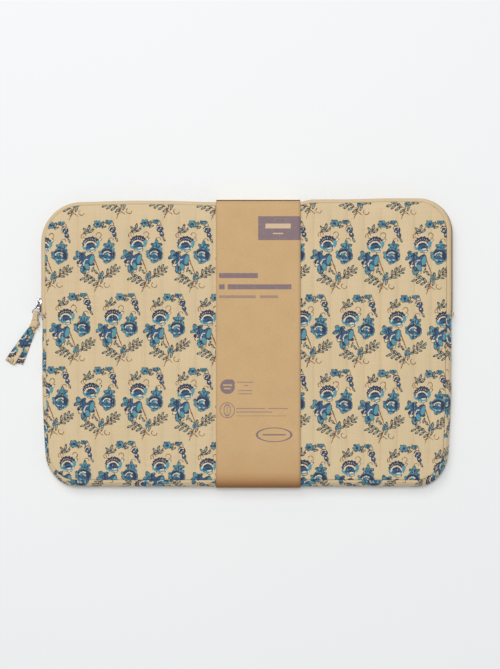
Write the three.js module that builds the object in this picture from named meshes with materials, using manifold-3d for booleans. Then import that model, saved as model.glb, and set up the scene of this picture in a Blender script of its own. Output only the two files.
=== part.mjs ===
// A quilted cotton laptop sleeve with a zip round its upper half.
// It lies on its back, wrapped in a card belly band.
// Millimetres. +Z is up, +X runs along the sleeve's width and +Y points to its zipped top edge.
// The origin is on the surface that the sleeve lies on, under the sleeve's centre.
import * as THREE from "three";
import { mergeVertices } from "three/addons/utils/BufferGeometryUtils.js";
import Module from "manifold-3d";

const wasm = await Module();
wasm.setup();

// ---------------------------------------------------------------- driving dimensions
const WIDTH = 360; // outside, along X
const HEIGHT = 250; // outside, along Y
const RADIUS = { topLeft: 36, topRight: 30, bottomLeft: 30, bottomRight: 30 }; // outside corners
const CARD = 0.4; // thickness of the belly band's card
const SLIP = 0.3; // gap between neighbouring pieces
const BACK_Z = CARD + SLIP; // the sleeve's back face, which lies on the band
const DEPTH = 18; // the sleeve's thickness
const FRONT_Z = BACK_Z + DEPTH;
const MID_Z = BACK_Z + DEPTH / 2; // where the two rows of the zip meet
const SEAM_INSET = 5; // the panels' seams lie this far inside the outline
const FOLD_Y = 42; // the front folds open along this line
const FOLD_GAP = 0.25; // half the gap between the pieces on either side of the fold
const ZIP_END_Y = 24; // the zip's two lower ends, on the sleeve's sides
const CORNER_STEPS = 8; // straight pieces in each rounded corner

// The layers of a quilted panel: how deep under the panel's face each starts and ends.
const LAYERS = {
  outer: [0, 0.6],
  wadding: [0.7, 3.6],
  lining: [3.7, 4.1],
};
// The same for the gusset strip that joins the panels below the zip.
const GUSSET_LAYERS = { outer: [0, 1.3], lining: [1.4, 1.9] };

const ROW_GAP = 1; // between the two rows of the zip, where the slider's post runs
const ROW_WIDTH = 2; // one row, across the zip
const ROW_THICK = 1.7; // one row, measured in from the outline
const TAPE = 0.65; // thickness of the zip's tape
const TAPE_IN = 1.85; // the tape lies this far inside the outline beside the row

const BINDING = { from: 6.3, to: 14, thick: 1.4 }; // the bound seam allowance inside
const STOP_LENGTH = 2.4; // the zip's metal stops, along the zip

const SLIDER = { y: 34, length: 12, width: 8.2, plate: 1.3, clear: 0.35 };
const BAIL = { y0: 30.6, y1: 39.4, height: 2.9, wall: 1, width: 1.6 };
const WIRE = 0.5; // radius of the pull ring's wire
const BAND = { x0: -27, x1: 46.5, clear: 0.6, tab: 12 }; // a loose card sleeve, right of the middle

// ---------------------------------------------------------------- colours
const material = (colour, roughness, metalness = 0) =>
  new THREE.MeshStandardMaterial({ color: colour, roughness, metalness });
const PRINTED = material(0xd9c29d, 0.9);
const LINING = material(0xe3d6bd, 0.9);
const WADDING = material(0xf1efe8, 1);
const TAPE_CLOTH = material(0xcbb083, 0.85);
const COIL = material(0xb08a55, 0.5);
const BINDING_CLOTH = material(0xd2b98f, 0.9);
const LABEL_CLOTH = material(0xf4f2ec, 0.8);
const METAL = material(0xd8d8da, 0.25, 1);
const KRAFT = material(0xc9a372, 0.85);

// ---------------------------------------------------------------- the outline
// A station is a point on the outline and the outward direction there.
const station = (x, y, nx, ny) => ({ x, y, nx, ny });

// The rounded corner in the quadrant (sx, sy), run clockwise.
function corner(sx, sy, radius) {
  const cx = sx * (WIDTH / 2 - radius);
  const cy = sy * (HEIGHT / 2 - radius);
  const first = { "-1,1": 180, "1,1": 90, "1,-1": 0, "-1,-1": 270 }[[sx, sy]];
  return Array.from({ length: CORNER_STEPS + 1 }, (_, i) => {
    const angle = THREE.MathUtils.degToRad(first - (90 * i) / CORNER_STEPS);
    const [nx, ny] = [Math.cos(angle), Math.sin(angle)];
    return station(cx + radius * nx, cy + radius * ny, nx, ny);
  });
}

// From the left side at height y, clockwise over the top, to the right side at height y.
function overTheTop(y) {
  return [
    station(-WIDTH / 2, y, -1, 0),
    ...corner(-1, 1, RADIUS.topLeft),
    ...corner(1, 1, RADIUS.topRight),
    station(WIDTH / 2, y, 1, 0),
  ];
}

// From the right side at height y, clockwise under the bottom, to the left side at height y.
function roundTheBottom(y) {
  return [
    station(WIDTH / 2, y, 1, 0),
    ...corner(1, -1, RADIUS.bottomRight),
    ...corner(-1, -1, RADIUS.bottomLeft),
    station(-WIDTH / 2, y, -1, 0),
  ];
}

// A straight stretch of the left (side -1) or right (side 1) side.
const sideStretch = (side, y0, y1) => [
  station((side * WIDTH) / 2, y0, side, 0),
  station((side * WIDTH) / 2, y1, side, 0),
];

const inwards = (stations, inset) =>
  stations.map((s) => new THREE.Vector2(s.x - s.nx * inset, s.y - s.ny * inset));

// ---------------------------------------------------------------- making solids
// A closed geometry from vertices and triangles, with its faces turned outwards.
function closedGeometry(vertices, triangles) {
  const geometry = new THREE.BufferGeometry();
  geometry.setAttribute("position", new THREE.Float32BufferAttribute(vertices, 3));
  geometry.setIndex(triangles);
  const at = (i) => new THREE.Vector3().fromArray(vertices, 3 * i);
  let volume = 0;
  for (let i = 0; i < triangles.length; i += 3) {
    const [a, b, c] = triangles.slice(i, i + 3).map(at);
    volume += a.dot(b.cross(c));
  }
  if (volume < 0) geometry.setIndex(triangles.reverse());
  return geometry;
}

// A section of [out, z] points, carried along the stations. out is measured outwards from the outline.
function sweep(stations, points2d) {
  const flat = points2d.map(([out, z]) => new THREE.Vector2(out, z));
  if (THREE.ShapeUtils.area(flat) < 0) flat.reverse();
  const section = flat.map((p) => [p.x, p.y]);
  const [rings, points] = [stations.length, section.length];
  const vertices = stations.flatMap((s) =>
    section.flatMap(([out, z]) => [s.x + s.nx * out, s.y + s.ny * out, z]),
  );
  const triangles = [];
  for (let i = 0; i < rings - 1; i++) {
    for (let j = 0; j < points; j++) {
      const [a, b] = [i * points + j, i * points + ((j + 1) % points)];
      triangles.push(a, b, b + points, a, b + points, a + points);
    }
  }
  const last = (rings - 1) * points;
  for (const [a, b, c] of THREE.ShapeUtils.triangulateShape(flat, [])) {
    triangles.push(a, c, b, last + a, last + b, last + c);
  }
  return closedGeometry(vertices, triangles);
}

// A flat plate with the given outline, from z0 to z1.
function plate(points, z0, z1) {
  const options = { depth: z1 - z0, bevelEnabled: false };
  return new THREE.ExtrudeGeometry(new THREE.Shape(points), options).translate(0, 0, z0);
}

const box = (x0, x1, y0, y1, z0, z1) =>
  new THREE.BoxGeometry(x1 - x0, y1 - y0, z1 - z0).translate(
    (x0 + x1) / 2,
    (y0 + y1) / 2,
    (z0 + z1) / 2,
  );

// A section in the YZ plane, run along X from x0 to x1.
function alongX(points, x0, x1) {
  const shape = new THREE.Shape(points.map(([y, z]) => new THREE.Vector2(y, z)));
  const made = new THREE.ExtrudeGeometry(shape, { depth: x1 - x0, bevelEnabled: false });
  const turn = new THREE.Matrix4().set(0, 0, 1, x0, 1, 0, 0, 0, 0, 1, 0, 0, 0, 0, 0, 1);
  return made.applyMatrix4(turn);
}

function toSolid(geometry) {
  const bare = geometry.index ? geometry.toNonIndexed() : geometry.clone();
  bare.deleteAttribute("normal");
  bare.deleteAttribute("uv");
  const merged = mergeVertices(bare, 1e-4);
  return new wasm.Manifold(
    new wasm.Mesh({
      numProp: 3,
      vertProperties: merged.attributes.position.array,
      triVerts: new Uint32Array(merged.index.array),
    }),
  );
}

function toGeometry(solid) {
  const mesh = solid.getMesh();
  const geometry = new THREE.BufferGeometry();
  geometry.setAttribute("position", new THREE.BufferAttribute(mesh.vertProperties, 3));
  geometry.setIndex(new THREE.BufferAttribute(mesh.triVerts, 1));
  return geometry;
}

const joined = (...geometries) =>
  toGeometry(geometries.map(toSolid).reduce((all, next) => all.add(next)));
const cut = (geometry, tool) => toGeometry(toSolid(geometry).subtract(toSolid(tool)));

// ---------------------------------------------------------------- the assembly
const sleeve = new THREE.Group();

function add(name, geometry, cloth) {
  const mesh = new THREE.Mesh(geometry, cloth);
  mesh.name = name;
  sleeve.add(mesh);
  return mesh;
}

// The three layers of one quilted panel. facing is 1 for the front and -1 for the back.
function quiltedPanel(name, stations, facing) {
  const outline = inwards(stations, SEAM_INSET + SLIP);
  const cloths = { outer: PRINTED, wadding: WADDING, lining: LINING };
  for (const [layer, [start, end]] of Object.entries(LAYERS)) {
    const z = facing > 0 ? [FRONT_Z - end, FRONT_Z - start] : [BACK_Z + start, BACK_Z + end];
    add(`${name}_${layer}`, plate(outline, ...z), cloths[layer]);
  }
}

// The tape that covers the raw seam allowance, lying on the lining just inside the seam.
function seamBinding(name, stations, facing) {
  const lining = LAYERS.lining[1] + 0.1;
  const near = facing > 0 ? FRONT_Z - lining : BACK_Z + lining;
  const far = near - facing * BINDING.thick;
  const section = [
    [-BINDING.from, near],
    [-BINDING.to, near],
    [-BINDING.to - 0.5, (near + far) / 2],
    [-BINDING.to, far],
    [-BINDING.from, far],
  ];
  add(name, sweep(stations, section), BINDING_CLOTH);
}

// A point of the gusset's bulging section: angle 90 is the front seam and -90 the back seam.
function bulge(degrees, depth) {
  const angle = THREE.MathUtils.degToRad(degrees);
  return [
    -SEAM_INSET + (SEAM_INSET - depth) * Math.cos(angle),
    MID_Z + (DEPTH / 2 - depth) * Math.sin(angle),
  ];
}

function gusset() {
  const path = roundTheBottom(ZIP_END_Y - SLIP);
  const angles = [90, 70, 50, 30, 10, -10, -30, -50, -70, -90];
  for (const [layer, [start, end]] of Object.entries(GUSSET_LAYERS)) {
    const section = [
      ...angles.map((a) => bulge(a, start)),
      ...angles.toReversed().map((a) => bulge(a, end)),
    ];
    const name = layer === "outer" ? "gusset_strip" : "gusset_strip_lining";
    add(name, sweep(path, section), layer === "outer" ? PRINTED : LINING);
  }
}

// A section on the front side of the zip, turned over for the rear side.
const onSide = (section, facing) =>
  facing > 0 ? section : section.map(([out, z]) => [out, 2 * MID_Z - z]);

// The tape runs from the panel's seam, over the edge, to the zip's row and ends at the middle.
function tapeSection() {
  const edge = MID_Z + ROW_GAP / 2;
  const angles = [90, 72, 54, 38];
  return [
    ...angles.map((a) => bulge(a, 0)),
    [-TAPE_IN, edge + ROW_WIDTH + 0.3],
    [-TAPE_IN, edge],
    [-TAPE_IN - TAPE, edge],
    [-TAPE_IN - TAPE, edge + ROW_WIDTH + 0.1],
    ...angles.toReversed().map((a) => bulge(a, TAPE)),
  ];
}

function rowSection() {
  const edge = MID_Z + ROW_GAP / 2;
  return [
    [-ROW_THICK, edge],
    [-0.25, edge],
    [0, edge + 0.3],
    [0, edge + ROW_WIDTH - 0.6],
    [-0.4, edge + ROW_WIDTH],
    [-ROW_THICK, edge + ROW_WIDTH],
  ];
}

// A stop pinched over one row: a plate outside it and a leg beyond its far edge.
function stopSection() {
  const edge = MID_Z + ROW_GAP / 2;
  const leg = edge + ROW_WIDTH + 0.15;
  return [
    [0.15, edge + 0.1],
    [0.8, edge + 0.1],
    [0.8, leg + 0.6],
    [-1.4, leg + 0.6],
    [-1.4, leg],
    [0.15, leg],
  ];
}

function zip() {
  const above = overTheTop(FOLD_Y + FOLD_GAP);
  const whole = overTheTop(ZIP_END_Y);
  add("zip_tape_rear", sweep(whole, onSide(tapeSection(), -1)), TAPE_CLOTH);
  add("zip_row_rear", sweep(whole, onSide(rowSection(), -1)), COIL);
  add("zip_tape_front", sweep(above, tapeSection()), TAPE_CLOTH);
  add("zip_row_front", sweep(above, rowSection()), COIL);
  for (const [side, name] of [[-1, "left"], [1, "right"]]) {
    const end = sideStretch(side, ZIP_END_Y, FOLD_Y - FOLD_GAP);
    add(`zip_tape_end_${name}`, sweep(end, tapeSection()), TAPE_CLOTH);
    add(`zip_row_end_${name}`, sweep(end, rowSection()), COIL);
  }
  for (const [facing, name] of [[1, "front"], [-1, "rear"]]) {
    const place = sideStretch(1, ZIP_END_Y + 1, ZIP_END_Y + 1 + STOP_LENGTH);
    add(`zip_top_stop_${name}`, sweep(place, onSide(stopSection(), facing)), METAL);
  }
  const reach = ROW_GAP / 2 + ROW_WIDTH + 0.15;
  const clip = [
    [-1.4, MID_Z + reach],
    [-1.4, MID_Z + reach + 0.6],
    [0.8, MID_Z + reach + 0.6],
    [0.8, MID_Z - reach - 0.6],
    [-1.4, MID_Z - reach - 0.6],
    [-1.4, MID_Z - reach],
    [0.15, MID_Z - reach],
    [0.15, MID_Z + reach],
  ];
  const place = sideStretch(-1, ZIP_END_Y + 0.9, ZIP_END_Y + 0.9 + STOP_LENGTH);
  add("zip_bottom_stop", sweep(place, clip), METAL);
}

// ---------------------------------------------------------------- slider and pull
const outOfLeft = (out) => -WIDTH / 2 - out; // X of a point that far outside the left side

// A slider plate: wide at the end where the rows part, narrower at the other, from out0 to out1.
function sliderPlate(out0, out1, width) {
  const [half, y0, y1] = [width / 2, SLIDER.y - SLIDER.length / 2, SLIDER.y + SLIDER.length / 2];
  const shape = new THREE.Shape();
  shape.moveTo(y0, -0.34 * width);
  shape.quadraticCurveTo(y0 - 0.6, 0, y0, 0.34 * width);
  shape.lineTo(y0 + 0.35 * SLIDER.length, 0.42 * width);
  shape.lineTo(y1 - 2.4, half);
  shape.quadraticCurveTo(y1, half, y1, 0.2 * width);
  shape.lineTo(y1, -0.2 * width);
  shape.quadraticCurveTo(y1, -half, y1 - 2.4, -half);
  shape.lineTo(y0 + 0.35 * SLIDER.length, -0.42 * width);
  const made = new THREE.ExtrudeGeometry(shape, {
    depth: out1 - out0,
    bevelEnabled: false,
    curveSegments: 4,
  });
  // shape x -> Y, shape y -> -Z, depth -> out of the left side
  const x = outOfLeft(out0);
  const turn = new THREE.Matrix4().set(0, 0, -1, x, 1, 0, 0, 0, 0, -1, 0, MID_Z, 0, 0, 0, 1);
  return made.applyMatrix4(turn);
}

function slider() {
  const outer = [SLIDER.clear, SLIDER.clear + SLIDER.plate];
  const inner = [-TAPE_IN - TAPE - 0.4 - 1.2, -TAPE_IN - TAPE - 0.4];
  const postY = SLIDER.y + SLIDER.length / 2 - 2.6;
  const post = box(
    outOfLeft(outer[0] + 0.2),
    outOfLeft(inner[1] - 0.2),
    postY,
    postY + 2.2,
    MID_Z - 0.3,
    MID_Z + 0.3,
  );
  const flangeReach = ROW_GAP / 2 + ROW_WIDTH + 0.75;
  const flange = (facing) => {
    const z = [MID_Z + facing * flangeReach, MID_Z + facing * (SLIDER.width / 2 - 0.1)];
    const y = [SLIDER.y - 0.1 * SLIDER.length, SLIDER.y + SLIDER.length / 2 - 1.6];
    return box(outOfLeft(outer[0] + 0.3), outOfLeft(-0.5), ...y, Math.min(...z), Math.max(...z));
  };
  const body = joined(
    sliderPlate(...outer, SLIDER.width),
    sliderPlate(...inner, SLIDER.width - 1),
    post,
    flange(1),
    flange(-1),
  );
  add("slider_body", body, METAL);

  const foot = outer[1] + 0.05;
  const arch = box(
    outOfLeft(foot + BAIL.height),
    outOfLeft(foot),
    BAIL.y0,
    BAIL.y1,
    MID_Z - BAIL.width / 2,
    MID_Z + BAIL.width / 2,
  );
  const eye = box(
    outOfLeft(foot + BAIL.height - BAIL.wall),
    outOfLeft(foot - 1),
    BAIL.y0 + 1.4,
    BAIL.y1 - 1.4,
    MID_Z - BAIL.width,
    MID_Z + BAIL.width,
  );
  add("slider_bail", cut(arch, eye), METAL);
}

// The pull hangs from the bail and lies beside the sleeve on the same surface.
const PULL = {
  pivot: new THREE.Vector3(outOfLeft(2.55), 36.4, MID_Z),
  ringEnd: new THREE.Vector3(-185.3, 26.6, 5.9),
  knot: new THREE.Vector3(-186.6, 17.6, 3.8),
  tailEnd: new THREE.Vector3(-203.6, -17.6, 1.7),
  stripWidth: 4.4,
};
const up = new THREE.Vector3(0, 0, 1);

// A wire ring whose near bar stands upright in the bail and whose far bar lies level in the strip.
function pullRing() {
  const along = PULL.ringEnd.clone().sub(PULL.pivot);
  const across = new THREE.Vector3(along.y, -along.x, 0).normalize();
  const at = (share, side, lift) =>
    PULL.pivot
      .clone()
      .addScaledVector(along, share)
      .add(new THREE.Vector3(0, 0, 5 * share * (1 - share)))
      .addScaledVector(across, side)
      .addScaledVector(up, lift);
  const half = [
    [0, 0, 1.6],
    [0.07, 0, 2.35],
    [0.3, 0.1, 2.45],
    [0.55, 0.6, 2.4],
    [0.8, 2.6, 1.1],
    [0.94, 3.5, 0.2],
    [1, 2.8, 0],
  ];
  const points = [
    ...half.map(([share, side, lift]) => at(share, side, lift)),
    ...half.toReversed().map(([share, side, lift]) => at(share, -side, -lift)),
  ];
  const loop = new THREE.CatmullRomCurve3(points, true, "centripetal");
  add("pull_ring", new THREE.TubeGeometry(loop, 56, WIRE, 8, true), METAL);
}

// The strip of cloth folded round the ring's far bar, with both layers running to the knot.
function pullLoop() {
  const along = PULL.knot.clone().sub(PULL.ringEnd);
  const reach = along.length() - 3.9;
  const shape = new THREE.Shape();
  const [outer, inner] = [2, 0.95];
  shape.moveTo(reach, outer * 0.9);
  shape.lineTo(0, outer);
  shape.absarc(0, 0, outer, Math.PI / 2, 1.5 * Math.PI, false);
  shape.lineTo(reach, -outer * 0.9);
  shape.lineTo(reach, -inner * 0.6);
  shape.lineTo(0, -inner);
  shape.absarc(0, 0, inner, 1.5 * Math.PI, Math.PI / 2, true);
  shape.lineTo(reach, inner * 0.6);
  const strip = new THREE.ExtrudeGeometry(shape, {
    depth: PULL.stripWidth,
    bevelEnabled: false,
    curveSegments: 5,
  }).translate(0, 0, -PULL.stripWidth / 2);
  const x = along.clone().normalize();
  const z = new THREE.Vector3(along.y, -along.x, 0).normalize();
  const turn = new THREE.Matrix4().makeBasis(x, z.clone().cross(x), z);
  strip.applyMatrix4(turn.setPosition(PULL.ringEnd));
  add("pull_strip_loop", strip, PRINTED);
}

function pullKnot() {
  const along = PULL.tailEnd.clone().sub(PULL.knot);
  const turn = Math.atan2(along.y, along.x);
  const knot = new THREE.SphereGeometry(1, 14, 10)
    .scale(4, 4.6, 3.6)
    .rotateZ(turn)
    .translate(...PULL.knot.toArray());
  add("pull_knot", knot, PRINTED);
}

// The strip's two free ends, splayed one over the other.
function pullTails() {
  const along = PULL.tailEnd.clone().sub(PULL.knot).setZ(0);
  const heading = Math.atan2(along.y, along.x);
  const tails = [
    { name: "pull_tail_over", splay: 0.075, z: 1.9 },
    { name: "pull_tail_under", splay: -0.085, z: 0.1 },
  ];
  for (const { name, splay, z } of tails) {
    const [start, end, thick] = [4.9, along.length() + 2, 1.5];
    const shape = new THREE.Shape();
    shape.moveTo(start, -2.1);
    shape.quadraticCurveTo((start + end) / 2, -3.6, end, -4.6);
    shape.lineTo(end + 1.2, 0);
    shape.lineTo(end, 4.6);
    shape.quadraticCurveTo((start + end) / 2, 3.6, start, 2.1);
    const options = { depth: thick, bevelEnabled: false, curveSegments: 6 };
    const tail = new THREE.ExtrudeGeometry(shape, options)
      .rotateZ(heading - splay)
      .translate(PULL.knot.x, PULL.knot.y, z);
    add(name, tail, PRINTED);
  }
}

// ---------------------------------------------------------------- the belly band
// One strip of card, creased into flat panels.
// The tab at the end of its back leaf laps outside its top wall.
function bellyBand() {
  const { x0, x1, clear, tab } = BAND;
  const inside = HEIGHT / 2 + clear;
  const outside = inside + CARD;
  const crease = SLIP / 2;
  const lap = outside + 2 * SLIP;
  const front = FRONT_Z + SLIP;
  const panel = (name, y, z) => add(name, box(x0, x1, ...y, ...z), KRAFT);
  panel("band_back_leaf", [-inside + crease, lap], [0, CARD]);
  panel("band_glue_tab", [lap, lap + CARD], [CARD + crease, tab]);
  panel("band_bottom_wall", [-outside, -inside], [CARD + crease, front - crease]);
  panel("band_front_leaf", [-inside + crease, inside - crease], [front, front + CARD]);
  panel("band_top_wall", [inside, outside], [BACK_Z + crease, front + CARD]);
}

// ---------------------------------------------------------------- build it
const aboveFold = overTheTop(FOLD_Y + FOLD_GAP);
const belowFold = roundTheBottom(FOLD_Y - FOLD_GAP);
const allRound = [...overTheTop(0), ...roundTheBottom(0)];

quiltedPanel("back_panel", allRound, -1);
quiltedPanel("front_lower", belowFold, 1);
quiltedPanel("front_flap", aboveFold, 1);
gusset();
zip();
seamBinding("binding_back", [...overTheTop(0), ...roundTheBottom(-2 * SLIP).slice(1)], -1);
seamBinding("binding_front_lower", belowFold, 1);
seamBinding("binding_flap", aboveFold, 1);
const labelZ = BACK_Z + LAYERS.lining[1] + 0.15;
add("care_label", box(136, 165, -32, -8, labelZ, labelZ + 0.3), LABEL_CLOTH);
slider();
pullRing();
pullLoop();
pullKnot();
pullTails();
bellyBand();

export default sleeve;
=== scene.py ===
import math

import bmesh
import bpy
import numpy as np
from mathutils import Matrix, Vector
from mathutils.geometry import delaunay_2d_cdt


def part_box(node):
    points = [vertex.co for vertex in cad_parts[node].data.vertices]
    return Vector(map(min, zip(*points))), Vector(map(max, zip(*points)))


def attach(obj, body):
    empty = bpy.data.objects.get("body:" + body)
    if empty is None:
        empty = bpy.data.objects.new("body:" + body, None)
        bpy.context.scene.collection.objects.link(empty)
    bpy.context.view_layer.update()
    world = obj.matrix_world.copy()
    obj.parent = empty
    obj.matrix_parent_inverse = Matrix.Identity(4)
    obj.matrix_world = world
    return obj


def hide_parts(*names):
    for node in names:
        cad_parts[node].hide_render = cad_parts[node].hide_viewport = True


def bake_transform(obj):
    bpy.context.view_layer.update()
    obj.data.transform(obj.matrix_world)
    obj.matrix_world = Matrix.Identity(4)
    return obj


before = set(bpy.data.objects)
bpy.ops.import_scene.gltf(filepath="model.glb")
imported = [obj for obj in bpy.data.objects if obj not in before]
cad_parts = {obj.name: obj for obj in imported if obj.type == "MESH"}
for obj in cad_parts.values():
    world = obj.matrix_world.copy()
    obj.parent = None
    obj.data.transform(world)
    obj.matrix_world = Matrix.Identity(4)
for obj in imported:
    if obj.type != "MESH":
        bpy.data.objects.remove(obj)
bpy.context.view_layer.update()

# A quilted laptop sleeve lying on its back in its card band. Lengths here are millimetres, in the CAD frame.
MM = 0.001


def box_mm(node):
    """A CAD node's low and high corners, in millimetres."""
    return np.array(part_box(node)) / MM


def unit(vectors):
    """The vector, or each of several, made 1 long."""
    return vectors / np.linalg.norm(vectors, axis=-1, keepdims=True)


# ---------------------------------------------------------------- sizes, from the frame
LEFT, BOTTOM, _ = box_mm("gusset_strip")[0]
RIGHT = box_mm("gusset_strip")[1][0]
TOP = box_mm("zip_row_rear")[1][1]
BACK_Z = box_mm("back_panel_outer")[0][2]
FRONT_Z = box_mm("front_lower_outer")[1][2]
MID_Z = (BACK_Z + FRONT_Z) / 2
HALF_DEPTH = (FRONT_Z - BACK_Z) / 2
ZIP_END = box_mm("zip_row_end_left")[0][1]
LINING_Z = box_mm("front_lower_lining")[0][2]
BAND_LOW = box_mm("band_back_leaf")[0]
BAND_HIGH = box_mm("band_glue_tab")[1]
BAND_FRONT_Z = box_mm("band_front_leaf")[1][2]
CARD = box_mm("band_back_leaf")[1][2]
SLIDER_LOW, SLIDER_HIGH = box_mm("slider_body")
KNOT = box_mm("pull_knot").mean(axis=0)

RADIUS = {(-1, 1): 36, (1, 1): 30, (1, -1): 30, (-1, -1): 30}  # of the corners, by side and edge
SEAM = 5.0  # the panels' seams lie this far inside the outline
EDGE_DROP = 1.3  # the padding thins by this much on each face towards the seams
PITCH = 14.65  # between two quilting seams
PLUMP = 2.2  # how far the padding stands over the quilting seams
FIRST_LINE = 0.9  # one quilting seam's place along X
STITCH = 3.1  # length of one stitch and the gap after it


# ---------------------------------------------------------------- numbers that look natural
def smooth(t):
    t = np.clip(t, 0, 1)
    return t * t * (3 - 2 * t)


def bumps(x, y, size, seed):
    """Smooth bumps from -1 to 1, about size across."""
    table = np.random.default_rng(seed).uniform(-1, 1, (256, 256))
    u, v = np.asarray(x, float) / size, np.asarray(y, float) / size
    i, j = np.floor(u).astype(int), np.floor(v).astype(int)
    a, b = smooth(u - i), smooth(v - j)
    at = lambda di, dj: table[(i + di) % 256, (j + dj) % 256]
    low = at(0, 0) * (1 - a) + at(1, 0) * a
    high = at(0, 1) * (1 - a) + at(1, 1) * a
    return low * (1 - b) + high * b


def settled(x, y, z):
    """Where a point of the straight outline lies on the soft sleeve, whose edges aren't quite straight."""
    x, y = np.asarray(x, float), np.asarray(y, float)
    on_front = smooth((z - MID_Z) / HALF_DEPTH)  # the front has slipped a little against the back
    # the sides are drawn in below the zip, and more towards the bottom
    drawn = (1.1 * smooth((32 - y) / 14) + 3.2 * smooth((-35 - y) / 85)) * np.abs(x / RIGHT) ** 6
    # the top edge sags at its left end and under the band, and stands higher to the right of the band
    high = smooth((y - 30) / (TOP - 45))
    droop = 1.4 * smooth((-95 - x) / 65) + 1.3 * smooth((x + 80) / 60)
    droop -= 2.5 * smooth((x - 44) / 14) + 0.9 * smooth((x - 80) / 50)
    return x - np.sign(x) * drawn - 1.0 * on_front, y - droop * high + 1.4 * on_front


# ---------------------------------------------------------------- the outline
def corner_stations(sx, sy):
    radius, steps = RADIUS[(sx, sy)], 26
    first = {(-1, 1): 180, (1, 1): 90, (1, -1): 0, (-1, -1): 270}[(sx, sy)]
    angles = np.radians(first - np.linspace(0, 90, steps))
    normals = np.stack([np.cos(angles), np.sin(angles)], 1)
    return np.hstack([[sx * (RIGHT - radius), sy * (TOP - radius)] + radius * normals, normals])


def straight(a, b, normal, step):
    count = max(2, int(np.hypot(*(np.array(b) - a)) / step))
    t = np.linspace(0, 1, count, endpoint=False)[1:, None]
    points = np.array(a) * (1 - t) + np.array(b) * t
    return np.hstack([points, np.tile(normal, (len(t), 1))])


def half_round(sx, sy, y, step):
    """Stations [x, y, outward x, outward y] from side sx at height y, round edge sy, to the far side."""
    first, second = corner_stations(sx, sy), corner_stations(-sx, sy)
    start, end = (np.array([[side * RIGHT, y, side, 0]]) for side in (sx, -sx))
    return np.vstack([
        start, straight(start[0, :2], first[0, :2], (sx, 0), step), first,
        straight(first[-1, :2], second[0, :2], (0, sy), step), second,
        straight(second[-1, :2], end[0, :2], (-sx, 0), step), end,
    ])


def over_the_top(y, step=2.0):
    return half_round(-1, 1, y, step)


def round_the_bottom(y, step=2.0):
    return half_round(1, -1, y, step)


def all_round(step=2.0):
    return np.vstack([over_the_top(0, step), round_the_bottom(0, step)[1:-1]])


def inside_outline(step, distance):
    """Points [x, y] that far inside the outline, all round it."""
    stations = all_round(step)
    return stations[:, :2] - stations[:, 2:] * distance


def lengths_along(line):
    """How far along a line each of its points lies."""
    return np.concatenate([[0], np.cumsum(np.linalg.norm(np.diff(line, axis=0), axis=1))])


def edge_distance(x, y):
    """How far inside the outline a point lies."""
    x, y = np.asarray(x, float), np.asarray(y, float)
    radius = np.where(y > 0, np.where(x < 0, RADIUS[(-1, 1)], RADIUS[(1, 1)]), RADIUS[(1, -1)])
    dx, dy = np.abs(x) - (RIGHT - radius), np.abs(y) - (TOP - radius)
    outside = np.hypot(np.maximum(dx, 0), np.maximum(dy, 0)) + np.minimum(np.maximum(dx, dy), 0)
    return radius - outside


# ---------------------------------------------------------------- making pieces
def piece(name, vertices, faces, materials, pattern=None, face_material=None):
    """A mesh piece that faces outwards. pattern is each vertex's place in the cloth or card, for its look."""
    mesh = bpy.data.meshes.new(name)
    mesh.from_pydata((np.asarray(vertices, float) * MM).tolist(), [], [tuple(f) for f in faces])
    for material in materials if isinstance(materials, (list, tuple)) else [materials]:
        mesh.materials.append(material)
    if face_material is not None:
        mesh.polygons.foreach_set("material_index", np.asarray(face_material, np.int32))
    place = np.zeros((len(mesh.vertices), 3), np.float32)
    source = np.asarray(vertices if pattern is None else pattern, float)
    place[:, : source.shape[1]] = source
    attribute = mesh.attributes.new("pattern", "FLOAT_VECTOR", "POINT")
    attribute.data.foreach_set("vector", place.ravel())
    mesh.polygons.foreach_set("use_smooth", np.ones(len(mesh.polygons), bool))
    work = bmesh.new()
    work.from_mesh(mesh)
    bmesh.ops.recalc_face_normals(work, faces=work.faces)
    work.to_mesh(mesh)
    work.free()
    made = bpy.data.objects.new(name, mesh)
    bpy.context.scene.collection.objects.link(made)
    return made


def rings_to_faces(rings, points, closed_section=True, closed_path=False):
    """The quads that join each ring of points to the next."""
    faces = []
    for i in range(rings if closed_path else rings - 1):
        a, b = i * points, ((i + 1) % rings) * points
        for j in range(points if closed_section else points - 1):
            k = (j + 1) % points
            faces.append((a + j, a + k, b + k, b + j))
    return faces


def swept(stations, section):
    """Vertices of a section, a function of the run length that gives points [out, z], and the run lengths."""
    runs = lengths_along(stations[:, :2])
    vertices = np.array([
        (x + nx * out, y + ny * out, z)
        for (x, y, nx, ny), run in zip(stations, runs) for out, z in section(run)
    ])
    vertices[:, 0], vertices[:, 1] = settled(*vertices.T)
    return vertices, runs


def capped(faces, rings, points):
    last = (rings - 1) * points
    return faces + [tuple(range(points)), tuple(last + j for j in reversed(range(points)))]


def sheet_faces(rows, columns):
    """The faces of a thin sheet whose vertices are a grid on one side of it, then the same on the other."""
    grid = np.arange(rows * columns).reshape(rows, columns)
    one = rings_to_faces(rows, columns, closed_section=False)
    other = [tuple(v + grid.size for v in reversed(f)) for f in one]
    edge = [*grid[0], *grid[1:, -1], *grid[-1, -2::-1], *grid[-2:0:-1, 0]]
    rim = [(a, b, b + grid.size, a + grid.size) for a, b in zip(edge, edge[1:] + edge[:1])]
    return one + other + rim


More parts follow.
